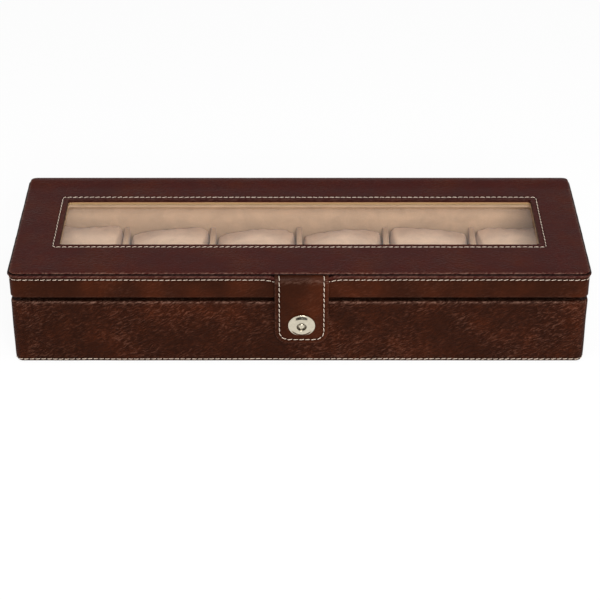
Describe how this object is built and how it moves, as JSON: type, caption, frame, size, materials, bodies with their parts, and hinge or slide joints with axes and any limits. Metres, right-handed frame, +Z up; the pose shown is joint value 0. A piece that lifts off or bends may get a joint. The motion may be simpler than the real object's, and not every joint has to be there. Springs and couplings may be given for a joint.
{
  "type": "watch box",
  "caption": "Long low box in stitched leather for storing watches, with a row of lift-out cushions, a hinged lid with a clear window and a snap tab.",
  "frame": {"origin": "centre of the underside, where the box rests", "axes": "+X to the right along the length, +Y to the hinges at the back, +Z up"},
  "size_m": [0.332, 0.122, 0.061],
  "materials": {
    "leather": "pebbled, satin",
    "board": "raw fibreboard",
    "suede_lining": "brushed suede",
    "suede_cushion": "brushed suede",
    "edge_strip": "tan cut edge",
    "clear_pane": "polished",
    "nickel": "polished nickel",
    "steel": "zinc plated",
    "magnet": "dark ferrite"
  },
  "bodies": {
    "base": {"base_bottom_board": "board", "base_front_board": "board", "base_back_board": "board", "base_left_board": "board", "base_right_board": "board", "base_leather_band": "leather", "base_leather_underside": "leather", "liner_floor": "suede_lining", "liner_front": "suede_lining", "liner_back": "suede_lining", "liner_left": "suede_lining", "liner_right": "suede_lining", "divider_1": "suede_lining", "divider_2": "suede_lining", "divider_3": "suede_lining", "divider_4": "suede_lining", "divider_5": "suede_lining", "snap_striker_plate": "nickel", "snap_striker_washer": "steel", "hinge_left_base_leaf": "nickel", "hinge_left_pin": "nickel", "hinge_right_base_leaf": "nickel", "hinge_right_pin": "nickel", "base_hinge_screws": "nickel"},
    "lid": {"lid_top_board": "board", "lid_front_board": "board", "lid_back_board": "board", "lid_left_board": "board", "lid_right_board": "board", "lid_leather_top": "leather", "lid_leather_band": "leather", "lid_rim_bead": "leather", "window_pane": "clear_pane", "window_binding": "edge_strip", "lid_lining_frame": "suede_lining", "lid_side_lining": "suede_lining", "hinge_left_lid_leaf": "nickel", "hinge_right_lid_leaf": "nickel", "lid_hinge_screws": "nickel"},
    "tab": {"tab_outer_leather": "leather", "tab_back_leather": "leather", "snap_cap": "nickel", "snap_rivet": "nickel", "snap_magnet": "magnet", "snap_magnet_cup": "steel"},
    "pillow_1": {"pillow_1": "suede_cushion"},
    "pillow_2": {"pillow_2": "suede_cushion"},
    "pillow_3": {"pillow_3": "suede_cushion"},
    "pillow_4": {"pillow_4": "suede_cushion"},
    "pillow_5": {"pillow_5": "suede_cushion"},
    "pillow_6": {"pillow_6": "suede_cushion"}
  },
  "joints": [
    {"name": "lid_hinge", "type": "hinge", "parent": "base", "child": "lid", "pos_m": [0, 0.0587, 0.0432], "axis": [-1, 0, 0], "range_deg": [0, 100]},
    {"name": "tab_swing", "type": "hinge", "parent": "lid", "child": "tab", "pos_m": [0.0013, -0.0571, 0.0603], "axis": [-1, 0, 0], "range_deg": [0, 110]},
    {"name": "pillow_1_lift", "type": "slide", "parent": "base", "child": "pillow_1", "axis": [0, 0, 1], "range_m": [0, 0.02]},
    {"name": "pillow_2_lift", "type": "slide", "parent": "base", "child": "pillow_2", "axis": [0, 0, 1], "range_m": [0, 0.02]},
    {"name": "pillow_3_lift", "type": "slide", "parent": "base", "child": "pillow_3", "axis": [0, 0, 1], "range_m": [0, 0.02]},
    {"name": "pillow_4_lift", "type": "slide", "parent": "base", "child": "pillow_4", "axis": [0, 0, 1], "range_m": [0, 0.02]},
    {"name": "pillow_5_lift", "type": "slide", "parent": "base", "child": "pillow_5", "axis": [0, 0, 1], "range_m": [0, 0.02]},
    {"name": "pillow_6_lift", "type": "slide", "parent": "base", "child": "pillow_6", "axis": [0, 0, 1], "range_m": [0, 0.02]}
  ]
}
